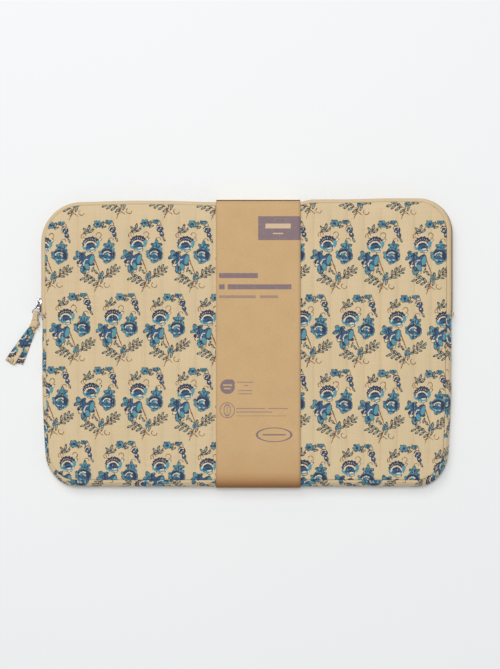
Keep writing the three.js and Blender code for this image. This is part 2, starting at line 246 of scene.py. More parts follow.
def tube(path, radius, sides, closed=False):
    """A round tube along path, with its caps unless it is closed."""
    path = np.asarray(path, float)
    count = len(path)
    ahead = np.roll(path, -1, 0) - np.roll(path, 1, 0)
    if not closed:
        ahead[0], ahead[-1] = path[1] - path[0], path[-1] - path[-2]
    ahead = unit(ahead)
    side = np.cross(ahead[0], (0, 0, 1) if abs(ahead[0][2]) < 0.9 else (1, 0, 0))
    vertices = []
    angles = np.arange(sides) * 2 * math.pi / sides
    for i in range(count):
        side = unit(side - ahead[i] * (side @ ahead[i]))
        other = np.cross(ahead[i], side)
        ring = path[i] + radius * (np.outer(np.cos(angles), side) + np.outer(np.sin(angles), other))
        vertices.extend(ring)
    faces = rings_to_faces(count, sides, closed_path=closed)
    if not closed:
        faces = capped(faces, count, sides)
    return np.array(vertices), faces


def cloth_places(across, along):
    """Places in the cloth: every place across it, at each length along it in turn."""
    return np.column_stack([np.tile(across, len(along)), np.repeat(along, len(across))])


def merged(parts):
    """Several (vertices, faces) as one."""
    vertices, faces, start = [], [], 0
    for part_vertices, part_faces in parts:
        vertices.append(part_vertices)
        faces.extend(tuple(v + start for v in f) for f in part_faces)
        start += len(part_vertices)
    return np.vstack(vertices), faces


def bevelled(made, width):
    """Rounds a metal piece's sharp edges."""
    modifier = made.modifiers.new("Bevel", "BEVEL")
    modifier.width, modifier.segments = width * MM, 3
    modifier.limit_method, modifier.angle_limit = "ANGLE", math.radians(50)
    with bpy.context.temp_override(object=made, active_object=made, selected_objects=[made]):
        bpy.ops.object.modifier_apply(modifier=modifier.name)
    return made


# ---------------------------------------------------------------- materials
def srgb(r, g, b):
    shares = (c / 255 for c in (r, g, b))
    return (*(c / 12.92 if c <= 0.04045 else ((c + 0.055) / 1.055) ** 2.4 for c in shares), 1)


def darker(colour, share):
    return [c * share for c in colour[:3]] + [1]


CLOTH = srgb(218, 196, 158)
NAVY = srgb(8, 42, 80)
BLUE = srgb(16, 82, 124)
TEAL = srgb(78, 148, 162)
LINE = srgb(44, 48, 56)
BROWN = srgb(122, 84, 52)
CREAM = srgb(226, 210, 178)
SAGE = srgb(150, 158, 148)
INK = srgb(122, 106, 116)


class Look:
    """A material and short ways to make its nodes."""

    def __init__(self, name, roughness=0.8, metallic=0.0, sheen=0.0, specular=0.5, coat=0.0):
        self.material = bpy.data.materials.new(name)
        self.material.use_nodes = True
        self.nodes, self.links = self.material.node_tree.nodes, self.material.node_tree.links
        self.shader = self.nodes["Principled BSDF"]
        values = {"Roughness": roughness, "Metallic": metallic, "Sheen Weight": sheen,
                  "Specular IOR Level": specular, "Coat Weight": coat}
        for socket, value in values.items():
            self.shader.inputs[socket].default_value = value
        self.bump_from = None
        self.place = self.node("ShaderNodeAttribute", attribute_name="pattern").outputs["Vector"]

    def put(self, socket, value):
        if isinstance(value, bpy.types.NodeSocket):
            self.links.new(value, socket)
        else:
            socket.default_value = value

    def node(self, kind, inputs=None, **settings):
        made = self.nodes.new(kind)
        for key, value in settings.items():
            setattr(made, key, value)
        for key, value in (inputs or {}).items():
            self.put(made.inputs[key], value)
        return made

    def math(self, operation, *values):
        made = self.node("ShaderNodeMath", operation=operation)
        for socket, value in zip(made.inputs, values):
            self.put(socket, value)
        return made.outputs[0]

    def vector(self, operation, a, b):
        made = self.node("ShaderNodeVectorMath", {0: a, 1: b}, operation=operation)
        return made.outputs[0]

    def split(self, vector):
        return self.node("ShaderNodeSeparateXYZ", {0: vector}).outputs

    def noise(self, scale, detail=3.0, roughness=0.5):
        """Noise from 0 to 1. scale is per millimetre, one number or three."""
        scales = scale if isinstance(scale, tuple) else (scale,) * 3
        vector = self.node("ShaderNodeMapping", {"Vector": self.place, "Scale": scales}).outputs[0]
        inputs = {"Vector": vector, "Scale": 1.0, "Detail": detail, "Roughness": roughness}
        return self.node("ShaderNodeTexNoise", inputs).outputs[0]

    def spread(self, value, low, high, to_low=0.0, to_high=1.0):
        inputs = {"Value": value, "From Min": low, "From Max": high, "To Min": to_low, "To Max": to_high}
        return self.node("ShaderNodeMapRange", inputs).outputs[0]

    def mix(self, factor, a, b):
        made = self.node("ShaderNodeMix", data_type="RGBA", blend_type="MIX")
        for socket, value in zip((made.inputs[0], made.inputs[6], made.inputs[7]), (factor, a, b)):
            self.put(socket, value)
        return made.outputs[2]

    def bump(self, height, strength, distance):
        """Adds a bump over those before it. distance is in millimetres."""
        inputs = {"Height": height, "Strength": strength, "Distance": distance * MM}
        if self.bump_from is not None:
            inputs["Normal"] = self.bump_from
        self.bump_from = self.node("ShaderNodeBump", inputs).outputs[0]

    def weave(self, threads):
        """Plain weave of that many threads per millimetre. Gives the threads' height, from 0 to 1."""
        wander = self.noise(0.35, 2.0)
        turns = [self.math("ADD", self.math("MULTIPLY", along, 2 * math.pi * threads), wander)
                 for along in self.split(self.place)[:2]]
        warp, weft = [self.math("SINE", turn) for turn in turns]
        ridge = self.math("MULTIPLY", self.math("ABSOLUTE", warp), 0.6)
        over = self.math("MAXIMUM", self.math("MULTIPLY", warp, weft), ridge)
        height = self.spread(over, -1, 1)
        self.bump(height, 0.6, 0.12)
        return height

    def done(self, colour, roughness=None):
        self.put(self.shader.inputs["Base Color"], colour)
        if roughness is not None:
            self.put(self.shader.inputs["Roughness"], roughness)
        if self.bump_from is not None:
            self.put(self.shader.inputs["Normal"], self.bump_from)
        return self.material


class Print(Look):
    """A look with printed shapes. A shape is a number that is below 1 inside it."""

    def lay_out(self, cell):
        self.first_cell = self.cell = cell

    def ellipse(self, x, y, width, height, turn=0.0):
        """The distance from an ellipse's middle, 1 at its edge, and the place in it."""
        inputs = {"Vector": self.cell, "Location": (x, y, 0),
                  "Rotation": (0, 0, math.radians(turn)), "Scale": (width, height, 1)}
        inside = self.node("ShaderNodeMapping", inputs, vector_type="TEXTURE").outputs[0]
        length = self.node("ShaderNodeVectorMath", {0: inside}, operation="LENGTH").outputs["Value"]
        return length, inside

    def oval(self, x, y, width, height, turn=0.0):
        return self.ellipse(x, y, width, height, turn)[0]

    def flower(self, x, y, width, height, petals, depth, turn=0.0):
        """An ellipse whose edge goes in and out, once for each petal."""
        length, inside = self.ellipse(x, y, width, height, turn)
        across, up = self.split(inside)[:2]
        angle = self.math("ARCTAN2", up, across)
        wave = self.math("COSINE", self.math("MULTIPLY", angle, float(petals)))
        return self.math("DIVIDE", length, self.math("MULTIPLY_ADD", wave, depth, 1.0))

    def ring(self, x, y, width, height, line, turn=0.0, start=-9.0):
        """An ellipse's outline, line millimetres thick, only where its own height is over start."""
        length, inside = self.ellipse(x, y, width, height, turn)
        away = self.math("ABSOLUTE", self.math("SUBTRACT", length, 1.0))
        shape = self.math("MULTIPLY", away, 2 * min(width, height) / line)
        if start > -1:
            low = self.math("LESS_THAN", self.split(inside)[1], start)
            cut = self.math("MULTIPLY", low, 9.0)
            shape = self.math("ADD", shape, cut)
        return shape

    def any(self, *shapes):
        total = shapes[0]
        for shape in shapes[1:]:
            total = self.math("MINIMUM", total, shape)
        return total

    def stamp(self, colour, ink, shape, edge=1.0):
        """Prints a shape in one ink. Later shapes wait for it: Cycles can't hold many results at once."""
        inside = self.math("LESS_THAN", shape, edge)
        waiting = {0: inside, 1: (1e-6, 1e-6, 0), 2: self.first_cell}
        self.cell = self.node("ShaderNodeVectorMath", waiting, operation="MULTIPLY_ADD").outputs[0]
        return self.mix(inside, colour, ink)


ACROSS, UP = 41.27, 64.1  # the print's repeat
DROP = 0.4685  # how far along every other row is moved, in repeats
MOTIF = (15.2, 43.5)  # the big flower's place in its cell
PRINT_FROM = (-7.1, -21.2)  # a corner of one cell on the front
RAGGED = 2.4  # how far the ink strays from a shape's edge, at most


def lattice(look):
    """Each point's place in its own cell of the repeat, in millimetres from the cell's corner."""
    inputs = {"Vector": look.place, "Scale": 0.9, "Detail": 4.0, "Roughness": 0.65}
    ragged = look.node("ShaderNodeTexNoise", inputs).outputs["Color"]
    shift = look.vector("SUBTRACT", ragged, (0.5, 0.5, 0.5))
    wavy = look.vector("ADD", look.place, look.vector("MULTIPLY", shift, (RAGGED, RAGGED, 0.0)))
    u, v = [look.math("DIVIDE", look.math("SUBTRACT", along, start), repeat)
            for along, start, repeat in zip(look.split(wavy), PRINT_FROM, (ACROSS, UP))]
    drop = look.math("MULTIPLY", look.math("FLOORED_MODULO", look.math("FLOOR", v), 2.0), DROP)
    x = look.math("MULTIPLY", look.math("FRACT", look.math("ADD", u, drop)), ACROSS)
    y = look.math("MULTIPLY", look.math("FRACT", v), UP)
    return look.node("ShaderNodeCombineXYZ", {0: x, 1: y}).outputs[0]


class Posy:
    """A domed flower, a rose, a lily, buds and leaves on one stem, printed one ink after another.

    Places are millimetres from the domed flower. Then come a shape's two radii, its own numbers and its turn.
    """

    def __init__(self, look, cloth):
        self.look, self.colour = look, cloth
        self.painted = look.mix(look.spread(look.noise(0.4, 2.0), 0.46, 0.6), TEAL, BLUE)
        self.stems_and_leaves()
        self.buds()
        self.lily()
        self.rose()
        self.dome()
        self.berries()

    def stamp(self, inks, ovals=(), rings=(), flowers=()):
        """Prints the shapes together in each ink in turn, out to the edge given with it."""
        kinds = ((self.look.oval, ovals), (self.look.ring, rings), (self.look.flower, flowers))
        shape = self.look.any(*(
            make(MOTIF[0] + x, MOTIF[1] + y, *rest) for make, rows in kinds for x, y, *rest in rows))
        for ink, edge in inks:
            self.colour = self.look.stamp(self.colour, ink, shape, edge)

    def stems_and_leaves(self):
        stems = [
            (4.6, -17.0, 12.0, 0.5, 111), (6.0, -35.6, 8.0, 0.5, 68), (0.8, -30.6, 8.0, 0.38, -26),
            (16.4, -26.0, 9.4, 0.4, 33), (5.5, -25.5, 5.0, 0.4, 140), (11.0, -14.0, 5.5, 0.4, 150),
            (7.4, -36.6, 4.6, 0.4, -38), (5.0, -38.2, 2.4, 0.35, 20)]
        arches = [
            (9.5, 12.0, 9.0, 5.5, 0.6, 12, 0.15), (-1.5, 8.5, 5.0, 5.0, 0.55, 60, 0.2),
            (15.0, 12.0, 5.0, 9.0, 0.5, -10, 0.0)]
        curls = [
            (-6.2, 7.2, 2.3, 2.0, 0.6, 30, -0.6), (7.0, 7.6, 2.2, 2.3, 0.6, -40, -0.6),
            (17.6, 3.0, 2.1, 1.8, 0.55, 20, -0.6), (14.0, -36.4, 2.4, 2.1, 0.6, 150, -0.6),
            (12.5, 22.0, 1.9, 1.5, 0.5, 0, -0.5), (-3.0, -24.4, 1.7, 1.4, 0.5, 200, -0.6)]
        leaves = [
            (-1.6, 14.2, 2.5, 1.0, 75), (-4.8, 12.4, 2.3, 0.9, 130), (-3.2, 10.2, 2.3, 0.9, 5),
            (0.8, 11.4, 2.1, 0.9, 40), (-7.2, -31.0, 2.3, 0.9, 200), (-4.4, -27.8, 2.3, 0.9, 120),
            (-3.6, -32.4, 2.3, 0.9, 215), (-1.2, -29.0, 2.3, 1.0, 130), (0.2, -33.8, 2.2, 0.9, 210),
            (2.0, -30.8, 2.0, 0.9, 125), (4.0, -35.6, 2.2, 0.9, 215), (1.8, -22.6, 2.0, 0.8, 70),
            (4.4, -24.8, 1.8, 0.8, 120), (10.2, -26.4, 2.0, 1.0, 95), (10.0, -31.6, 2.0, 0.8, 60),
            (12.6, -29.4, 1.9, 0.8, 15), (14.6, -24.6, 2.3, 0.9, 85), (16.2, -28.6, 2.2, 0.9, -10),
            (17.8, -22.2, 2.3, 0.9, 75), (19.4, -26.6, 2.3, 0.9, -15), (21.0, -20.4, 2.3, 0.9, 60),
            (22.6, -24.4, 2.3, 0.9, -5), (24.8, -21.4, 2.3, 0.9, 25), (9.6, -33.6, 1.9, 0.7, 60),
            (10.4, 17.2, 2.1, 0.9, 70), (11.6, 14.6, 1.9, 0.8, 20), (22.5, 3.4, 1.9, 0.8, -60)]
        self.stamp([(BROWN, 1)], ovals=stems, rings=arches)
        self.stamp([(BROWN, 1)], rings=curls)
        self.stamp([(LINE, 1.24), (SAGE, 0.66)], ovals=leaves)

    def buds(self):
        """The teal leaves, the rose's crown and the buds, with their veins."""
        self.stamp(
            [(LINE, 1.18), (self.painted, 1)],
            flowers=[(-9.8, -10.2, 4.2, 3.3, 4, 0.3, 30), (16.0, -2.4, 3.9, 3.6, 5, 0.26, 90),
                     (6.1, 17.4, 3.2, 2.9, 6, 0.14, 10)],
            ovals=[(-6.0, -21.8, 2.7, 4.0, -12), (15.7, 19.3, 2.6, 2.2, 10), (8.2, -29.0, 1.5, 2.7, -25)])
        self.stamp(
            [(NAVY, 1)],
            ovals=[(-9.8, -10.2, 3.2, 0.4, 205), (-9.4, -11.4, 0.4, 2.6, 20), (-6.0, -21.6, 0.4, 3.2, -12),
                   (16.0, -2.6, 0.4, 3.0), (14.0, -3.0, 0.35, 2.3, 32), (18.0, -3.0, 0.35, 2.3, -32),
                   (6.1, 17.2, 1.3, 1.1), (8.2, -29.0, 0.3, 2.1, -25)],
            rings=[(15.7, 19.0, 1.3, 1.1, 0.5)])

    def lily(self):
        """Pointed navy and blue petals round a pale throat, and one pale petal turned back."""
        self.stamp([(LINE, 1)], ovals=[(-9.0, -17.0, 2.3, 3.7, -24)])
        self.stamp([(CREAM, 1)], ovals=[(-9.0, -17.0, 1.7, 3.1, -24)])
        self.stamp([(NAVY, 1)], flowers=[(-4.2, -15.0, 6.3, 6.3, 5, 0.32, 46)])
        self.stamp([(BLUE, 1)], flowers=[(-3.6, -15.0, 4.9, 4.9, 5, 0.34, 46)])
        self.stamp([(NAVY, 1.2), (TEAL, 1)], ovals=[(1.0, -14.0, 1.9, 4.2, -14), (-3.0, -20.0, 1.9, 2.9, 24)])
        self.stamp([(CREAM, 1)], ovals=[
            (-5.6, -16.0, 2.1, 0.45, 58), (-3.6, -13.8, 1.7, 0.4, 12), (-5.8, -18.2, 1.3, 0.45, 85),
            (-9.2, -16.4, 0.3, 1.9, -24)])

    def rose(self):
        """A teal diamond with a navy turn over a pale heart."""
        self.stamp(
            [(NAVY, 1.08), (self.painted, 1)],
            flowers=[(14.4, -9.8, 6.3, 6.2, 4, 0.08, 4)],
            ovals=[(9.8, -8.4, 3.2, 1.8, -24), (19.0, -12.4, 2.9, 2.0, 50), (18.4, -6.2, 2.9, 1.9, 40),
                   (13.2, -15.2, 2.2, 2.4, 10)])
        self.stamp(
            [(NAVY, 1)],
            rings=[(14.8, -9.6, 4.7, 4.0, 2.2, -14, -0.1)],
            ovals=[(18.4, -10.6, 1.7, 3.1, 12), (11.0, -9.6, 1.0, 2.6, -24), (15.0, -15.0, 2.6, 0.5, 8)])
        self.stamp([(BLUE, 1)], ovals=[(13.4, -11.6, 2.4, 1.5, 30), (16.6, -12.4, 1.6, 1.2, -20)])
        self.stamp(
            [(CREAM, 1)],
            rings=[(13.8, -9.0, 3.0, 2.0, 0.7, 16, 0.0)],
            ovals=[(15.8, -9.8, 1.4, 0.45, -35), (12.2, -13.6, 1.1, 0.4, -35), (16.0, -13.8, 0.9, 0.35, 30)])

    def dome(self):
        """A scalloped navy rim over teal, a pale crescent, a ring of seeds and a blue heart."""
        seeds = [(0.2 + 5.9 * math.cos(a), -0.6 + 5.0 * math.sin(a), 0.26, 0.5, math.degrees(a) - 90)
                 for a in np.radians(np.arange(28, 165, 17))]
        self.stamp([(LINE, 1.15), (CREAM, 0.85)], ovals=[
            (1.9, -5.7, 2.5, 1.5, 14), (-1.9, -5.5, 1.9, 1.3, -22), (7.5, 3.1, 2.3, 1.1, 36)])
        self.stamp([(NAVY, 1)], flowers=[(0.2, 0.4, 7.5, 6.2, 15, 0.05, 8)])
        self.stamp([(TEAL, 1)], ovals=[
            (-4.6, -3.0, 2.6, 2.1, -20), (5.7, -0.6, 1.9, 3.6, -24), (0.6, -4.9, 3.8, 1.3, 6)])
        self.stamp([(CREAM, 1)], rings=[(-0.2, -2.4, 4.9, 4.5, 1.1, 8, 0.12)],
                   ovals=[(1.6, -4.1, 2.0, 0.7, 12), (5.0, -3.6, 0.4, 1.3, -20)])
        self.stamp([(CREAM, 1)], ovals=seeds)
        self.stamp([(BLUE, 1)], rings=[(0.8, -3.7, 3.2, 2.7, 1.7, 8, -0.1)],
                   ovals=[(-3.2, -2.9, 1.5, 0.9, 40)])

    def berries(self):
        self.stamp([(NAVY, 1)], ovals=[(18.7, 12.8, 3.4, 3.1, -40), (20.6, 7.8, 2.0, 2.5, 20)])
        self.stamp([(BLUE, 1)], ovals=[(19.4, 11.8, 1.6, 1.2, -40), (20.9, 7.2, 1.0, 1.2)])
        self.stamp([(CREAM, 1)], rings=[(18.6, 12.6, 2.5, 2.2, 0.7, 30, 0.2)],
                   ovals=[(18.2, 11.4, 0.9, 0.4, 40), (19.8, 13.0, 0.5, 0.4), (20.3, 8.6, 0.9, 0.5, 20)])


def slubbed(look, base):
    """Cotton whose threads vary a little in thickness and colour, mostly along the warp."""
    slub = look.noise((1.3, 0.05, 0.05), 3.0, 0.6)
    cross = look.noise((0.04, 1.1, 0.04), 2.0)
    cloud = look.noise(0.02, 2.0)
    dark = darker(base, 0.86)
    pale = [min(1, c * 1.10) for c in base[:3]] + [1]
    colour = look.mix(look.spread(slub, 0.38, 0.62, 0, 0.5), base, dark)
    colour = look.mix(look.spread(cross, 0.45, 0.65, 0, 0.3), colour, pale)
    return look.mix(look.spread(cloud, 0.35, 0.65, 0, 0.3), colour, dark)


def printed_cloth():
    look = Print("printed_cotton", roughness=0.88, sheen=0.12, specular=0.25)
    look.lay_out(lattice(look))
    height = look.weave(1.9)
    plain = slubbed(look, CLOTH)
    colour = Posy(look, plain).colour
    thin_ink = look.spread(look.noise(2.4, 2.0), 0.35, 0.75, 0.0, 0.12)
    colour = look.mix(thin_ink, colour, plain)
    # painted shade: the cloth is darker where the threads lie low, between the raised ones
    shade_between_threads = look.spread(height, 0.2, 0.9, 0.18, 0.0)
    colour = look.mix(shade_between_threads, colour, srgb(120, 98, 70))
    return look.done(colour, look.spread(look.noise(0.5), 0.3, 0.7, 0.82, 0.95))


def plain_cloth(name, base, threads=1.6):
    look = Look(name, roughness=0.88, sheen=0.1, specular=0.25)
    height = look.weave(threads)
    # painted shade: the cloth is darker where the threads lie low, between the raised ones
    shade_between_threads = look.spread(height, 0.2, 0.9, 0.28, 0.0)
    colour = look.mix(shade_between_threads, slubbed(look, base), darker(base, 0.7))
    return look.done(colour, look.spread(look.noise(0.6), 0.3, 0.7, 0.8, 0.95))


def thread(name, base):
    """Twisted thread."""
    look = Look(name, roughness=0.6, sheen=0.2, specular=0.3)
    x, y = look.split(look.place)[:2]
    turn = look.math("SINE", look.math("MULTIPLY", look.math("ADD", x, y), 14.0))
    look.bump(look.spread(turn, -1, 1), 0.5, 0.06)
    return look.done(look.mix(look.spread(turn, -1, 1, 0, 0.4), base, darker(base, 0.75)))


def nylon(name, base):
    look = Look(name, roughness=0.42, specular=0.5, coat=0.1)
    fine = look.noise(3.0, 3.0)
    look.bump(fine, 0.2, 0.03)
    colour = look.mix(look.spread(fine, 0.35, 0.65, 0, 0.5), base, darker(base, 0.7))
    return look.done(colour, look.spread(fine, 0.3, 0.7, 0.34, 0.5))


def plated(name, base):
    look = Look(name, roughness=0.22, metallic=1.0)
    brushed = look.noise((0.8, 6.0, 0.8), 4.0)
    pits = look.noise(5.0, 2.0)
    look.bump(brushed, 0.12, 0.02)
    worn = look.spread(look.noise(0.7), 0.4, 0.7, 0, 0.5)
    return look.done(look.mix(worn, base, darker(base, 0.72)), look.spread(pits, 0.3, 0.7, 0.16, 0.32))


def card_stock(look, base, pale):
    """Brown card with flecks and fibres. Gives its colour, its clouds and its fibres."""
    cloud = look.noise(0.06, 3.0)
    colour = look.mix(look.spread(cloud, 0.35, 0.65, 0, 0.14), base, srgb(172, 134, 90))
    fibre = look.noise((0.35, 2.6, 1.0), 4.0, 0.7)
    colour = look.mix(look.spread(fibre, 0.45, 0.7, 0, 0.3), colour, pale)
    fleck = look.noise((1.4, 1.0, 1.0), 2.0, 0.4)
    colour = look.mix(look.spread(fleck, 0.66, 0.74, 0, 0.6), colour, srgb(140, 98, 58))
    return colour, cloud, fibre


def card_print(look, colour, base):
    """The band's printing in one ink. Plain bars stand where there would be words or marks."""
    x, y = look.split(look.place)[:2]

    def between(along, a, b):
        away = look.math("ABSOLUTE", look.math("SUBTRACT", along, (a + b) / 2))
        return look.math("DIVIDE", away, (b - a) / 2)

    def bars(*rows):
        """Bars from x0 to x1 and from y0 to y1."""
        return look.any(*(
            look.math("MAXIMUM", between(x, x0, x1), between(y, y0, y1)) for x0, x1, y0, y1 in rows))

    right = BAND_HIGH[0]
    faded = look.mix(look.spread(look.noise(1.5, 3.0), 0.35, 0.7, 0.0, 0.22), INK, base)
    size_tag = bars((right - 36.8, right + 1, 90.0, 110.8))
    tag_bars = bars((right - 30.5, right - 8.5, 100.2, 104.4), (right - 24, right - 15, 95.3, 96.3))
    colour = look.stamp(colour, faded, size_tag)
    colour = look.stamp(colour, srgb(206, 182, 150), tag_bars)
    titles = bars((-24.3, 9.4, 57.0, 61.4), (-24.3, -19.4, 47.2, 51.6), (-16.8, 38.6, 47.2, 51.6))
    colour = look.stamp(colour, faded, titles)
    subtitle = bars((-24.3, 7.6, 39.6, 42.0), (11.2, 27.0, 39.6, 42.0))
    colour = look.stamp(colour, look.mix(0.35, faded, base), subtitle)
    small = [(-9.0, 5.6, -34.0), (-3.0, 1.0, -36.8), (-8.0, 4.6, -41.2), (-7.6, 4.4, -44.0),
             (-9.4, 16.0, -56.8), (18.0, 35.8, -56.8), (-9.4, 22.0, -59.8)]
    small_bars = bars(*((x0, x1, y0, y0 + 0.9) for x0, x1, y0 in small), (-9.4, 34.0, -63.0, -62.5))
    colour = look.stamp(colour, look.mix(0.3, faded, base), small_bars)
    badge = look.any(look.oval(-17.0, -37.4, 6.4, 6.4), look.oval(-13.8, -34.2, 3.2, 3.2))
    colour = look.stamp(colour, faded, badge)
    colour = look.stamp(colour, base, bars((-21, -13, -36.6, -35.4), (-20, -14, -39.6, -38.4)))
    emblem = look.any(look.ring(-17.2, -57.8, 6.3, 6.6, 0.6), look.ring(-17.2, -57.8, 2.8, 4.8, 0.6),
                      bars((-17.4, -17.0, -64.5, -54.0)))
    colour = look.stamp(colour, faded, emblem)
    mark = look.any(look.ring(23.6, -79.2, 15.0, 6.0, 0.8), bars((13.6, 33.6, -79.8, -78.6)))
    return look.stamp(colour, faded, mark)


def kraft_card():
    look = Print("kraft_card", roughness=0.82, specular=0.3)
    look.lay_out(look.place)
    base, pale = srgb(198, 164, 119), srgb(216, 186, 144)
    colour, cloud, fibre = card_stock(look, base, pale)
    colour = card_print(look, colour, base)
    worn = look.spread(look.noise(0.4, 4.0), 0.55, 0.8, 0, 0.25)
    colour = look.mix(worn, colour, pale)
    # painted shade: the card is drawn browner and darker towards the bottom fold, where it bends away from
    # the light
    y = look.split(look.place)[1]
    colour = look.mix(look.spread(y, -112, -90, 0.3, 0.0), colour, srgb(176, 130, 84))
    # the strongest painted shade, over the last few millimetres before the bottom fold
    colour = look.mix(look.spread(y, -125, -112, 0.95, 0.0), colour, srgb(146, 98, 54))
    look.bump(fibre, 0.35, 0.05)
    look.bump(cloud, 0.3, 0.4)
    return look.done(colour, look.spread(fibre, 0.3, 0.7, 0.74, 0.9))


def label_satin():
    look = Look("label_satin", roughness=0.5, sheen=0.3, specular=0.4)
    rib = look.noise((0.3, 7.0, 1.0), 2.0)
    look.bump(rib, 0.4, 0.04)
    return look.done(look.mix(look.spread(rib, 0.3, 0.7, 0, 0.3), srgb(245, 243, 238), srgb(220, 216, 208)))


PRINTED = printed_cloth()
PLAIN = plain_cloth("plain_cotton", srgb(216, 193, 155))
LINING = plain_cloth("lining_cotton", srgb(228, 214, 188), 2.4)
TAPE_CLOTH = plain_cloth("zip_tape_cloth", srgb(204, 172, 122), 2.8)
BOUND = plain_cloth("binding_cotton", srgb(212, 186, 144), 2.0)
THREAD = thread("quilting_thread", srgb(214, 190, 150))
COIL = nylon("zip_coil_nylon", srgb(184, 148, 104))
METAL = plated("nickel_plate", srgb(176, 176, 180))
KRAFT = kraft_card()
SATIN = label_satin()


# ---------------------------------------------------------------- quilted panels
def quilt_height(x, y, depth, seed):
    """How high the cloth stands over its seams' level. Each quilting seam and the edge draw it down."""
    channel = (np.asarray(x) - FIRST_LINE) / PITCH
    line = np.round(channel)
    nearest = np.abs(channel - line) * PITCH
    crown = np.sin(math.pi * np.clip(nearest / PITCH, 0, 0.5)) ** 0.62
    fullness = 1 + 0.16 * bumps(np.floor(channel) * 40 + x * 0.05, y, 26, seed)  # varies along a channel
    tug = bumps(line * 37, y, 3.4, seed + 1) * np.exp(-nearest / 2.6) * 0.22  # of the stitches beside it
    crease = bumps(x * 0.35, y, 6.5, seed + 2) * 0.12 * crown
    broad = 0.1 * bumps(x, y, 60, seed + 3)
    inside = edge_distance(x, y) - SEAM
    rim = smooth((inside + 0.2) / 6.5)
    edge_pull = bumps(x, y, 4.2, seed + 4) * 0.2 * np.exp(-inside / 3.0)
    swell = depth * crown * fullness + crease + broad + tug + 0.25
    return rim * swell + edge_pull * smooth(inside / 1.2)


def panel_points():
    """Points of the panel's plane: the outline round it, and inside that a grid that follows the channels."""
    shares = np.array([0, 0.035, 0.09, 0.17, 0.27, 0.385, 0.5, 0.615, 0.73, 0.83, 0.91, 0.965])
    first = math.floor((LEFT - FIRST_LINE) / PITCH)
    columns = FIRST_LINE + PITCH * (np.arange(first, -first + 1)[:, None] + shares).ravel()
    rows = np.arange(BOTTOM + SEAM, TOP - SEAM, 2.1)
    gx, gy = (g.ravel() for g in np.meshgrid(columns, rows))
    keep = edge_distance(gx, gy) > SEAM + 0.9
    inner = inside_outline(1.8, SEAM + 0.55)
    return inside_outline(1.8, SEAM), np.vstack([inner, np.stack([gx[keep], gy[keep]], 1)])


def panel_mesh():
    """The panel's flat triangles: its points, its faces, and the order of the points at its rim."""
    border, inside = panel_points()
    points = [Vector(p) for p in np.vstack([border, inside])]
    edges = [(i, (i + 1) % len(border)) for i in range(len(border))]
    flat = delaunay_2d_cdt(points, edges, [], 1, 1e-5)
    made_from = {origin: index for index, origins in enumerate(flat[3]) for origin in origins}
    rim = [made_from[i] for i in range(len(border))]
    return np.array([tuple(v) for v in flat[0]]), [tuple(f) for f in flat[2]], rim


PANEL_XY, PANEL_FACES, PANEL_RIM = panel_mesh()


def print_slope(x, y):
    """How far the print has run downhill: more to the right, and most towards the bottom and the top."""
    downhill = (x + 150) / 300 * (2.6 - 0.018 * y)
    near_top = smooth((y - 30) / (TOP - 45))
    return downhill + near_top * (0.6 * smooth((-95 - x) / 65) + 2.4 * smooth((x - 44) / 80))


def quilted_panel(name, facing, seed):
    """A closed panel: quilted cloth outside, lining inside, and a thin rim at the seam."""
    x, y = PANEL_XY.T
    inside = edge_distance(x, y) - SEAM
    face_z, lining_z = (FRONT_Z, LINING_Z) if facing > 0 else (BACK_Z, BACK_Z + FRONT_Z - LINING_Z)
    height = quilt_height(x, y, 1.5, seed)
    height = height / height.max() * PLUMP
    near_edge = smooth(1 - inside / 15)
    depth = (PLUMP - height) * (1 - near_edge) + EDGE_DROP * near_edge + 0.75 * np.exp(-inside / 0.9)
    outer = face_z - facing * (depth + 0.02)
    lining_height = quilt_height(x, y, 0.9, seed + 9) * 0.55
    inner = lining_z + facing * (0.75 - lining_height + 0.6 * np.exp(-inside / 1.6))
    place = np.stack(settled(x, y, face_z), 1)
    vertices = np.vstack([np.column_stack([place, outer]), np.column_stack([place, inner])])
    count = len(x)
    faces = [f if facing > 0 else f[::-1] for f in PANEL_FACES]
    inner_faces = [tuple(v + count for v in reversed(f)) for f in faces]
    rim = [(a, b, b + count, a + count) for a, b in zip(PANEL_RIM, PANEL_RIM[1:] + PANEL_RIM[:1])]
    materials = [0] * len(faces) + [1] * len(inner_faces) + [0] * len(rim)
    pattern = np.vstack([np.stack([facing * x, y + print_slope(x, y)], 1)] * 2)
    return piece(name, vertices, faces + inner_faces + rim, [PRINTED, LINING], pattern, materials)


def stitch(x, y, facing, ys, zs):
    """One stitch of a quilting seam that starts at (x, y), over cloth that is zs high at ys."""
    along = y + np.array([0, 0.12, 0.5, 0.88, 1]) * STITCH * 0.72
    rise = np.array([-0.3, 0.0, 0.06, 0.0, -0.3])
    radii = np.array([0.1, 0.17, 0.19, 0.17, 0.1])
    high = np.interp(along, ys, zs) + facing * rise
    px, py = settled(np.full(5, x), along, FRONT_Z if facing > 0 else BACK_Z)
    ring = np.array([(math.cos(a), math.sin(a)) for a in np.arange(6) * math.pi / 3])
    vertices = np.vstack([
        np.column_stack([at_x + ring[:, 0] * radius, np.full(6, at_y), at_z + ring[:, 1] * radius])
        for at_x, at_y, at_z, radius in zip(px, py, high, radii)])
    return vertices, capped(rings_to_faces(5, 6), 5, 6)


